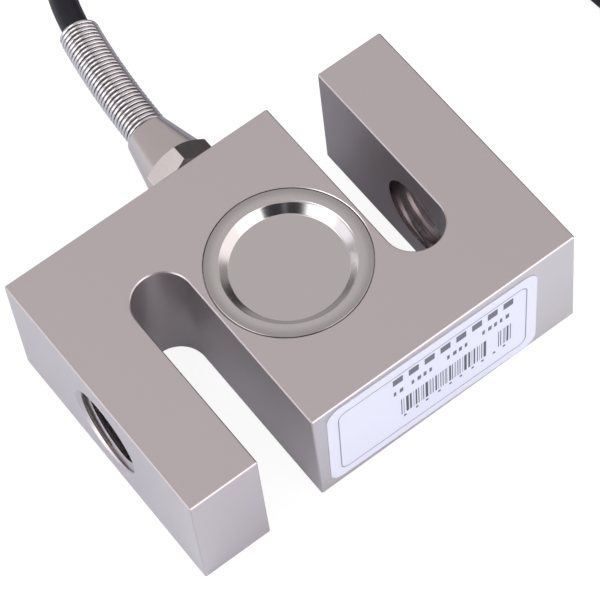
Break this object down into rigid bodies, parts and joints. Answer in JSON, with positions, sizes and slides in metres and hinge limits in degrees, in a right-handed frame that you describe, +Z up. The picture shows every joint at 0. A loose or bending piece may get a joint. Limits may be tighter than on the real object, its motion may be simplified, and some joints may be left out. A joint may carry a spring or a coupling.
{
  "type": "s-type load cell",
  "caption": "S-shaped steel strain gauge load cell with tapped ends, pressed covers over its gauge pockets, a spring strain relief and a coiled cable with bare leads.",
  "frame": {"origin": "middle of the block's bottom face, with the block lying on its broad side", "axes": "+X along the load axis through the two tapped holes, +Y to the cable gland, +Z up through the block"},
  "size_m": [0.2022, 0.1274, 0.0267],
  "materials": {
    "body_steel": "nickel plated, fine ground",
    "cover_steel": "satin",
    "label_film": "satin",
    "washer_nylon": "matte",
    "gland_nickel": "nickel plated",
    "grommet_rubber": "matte",
    "spring_wire": "bright drawn",
    "gauge_film": "translucent amber",
    "gauge_foil": "etched foil",
    "board_laminate": "satin",
    "resistor_ceramic": "gloss",
    "solder": "tinned",
    "cable_black": "satin",
    "tie_nylon": "satin",
    "sleeve_black": "satin",
    "core_red": "satin",
    "core_black": "satin",
    "core_green": "satin",
    "core_white": "satin",
    "drain_copper": "tinned"
  },
  "bodies": {
    "root": {"spring_body": "body_steel", "top_cover": "cover_steel", "bottom_cover": "cover_steel", "label_plate": "label_film", "gland_washer": "washer_nylon", "gland_body": "gland_nickel", "gland_grommet": "grommet_rubber", "clamp_ring": "gland_nickel", "gland_nut": "gland_nickel", "strain_spring": "spring_wire", "top_gauge_backing": "gauge_film", "top_gauge_grids": "gauge_foil", "bottom_gauge_backing": "gauge_film", "bottom_gauge_grids": "gauge_foil", "bridge_board": "board_laminate", "trim_resistors": "resistor_ceramic", "solder_joints": "solder", "top_gauge_leads": "gauge_foil", "bottom_gauge_leads": "gauge_foil", "cable_jacket": "cable_black", "cable_coil": "cable_black", "cable_tail": "cable_black", "cable_ties": "tie_nylon", "lead_sleeve": "sleeve_black", "tinned_tips": "solder", "inner_core_red": "core_red", "lead_red": "core_red", "inner_core_black": "core_black", "lead_black": "core_black", "inner_core_drain": "drain_copper", "lead_drain": "drain_copper", "inner_core_green": "core_green", "lead_green": "core_green", "inner_core_white": "core_white", "lead_white": "core_white"}
  },
  "joints": []
}
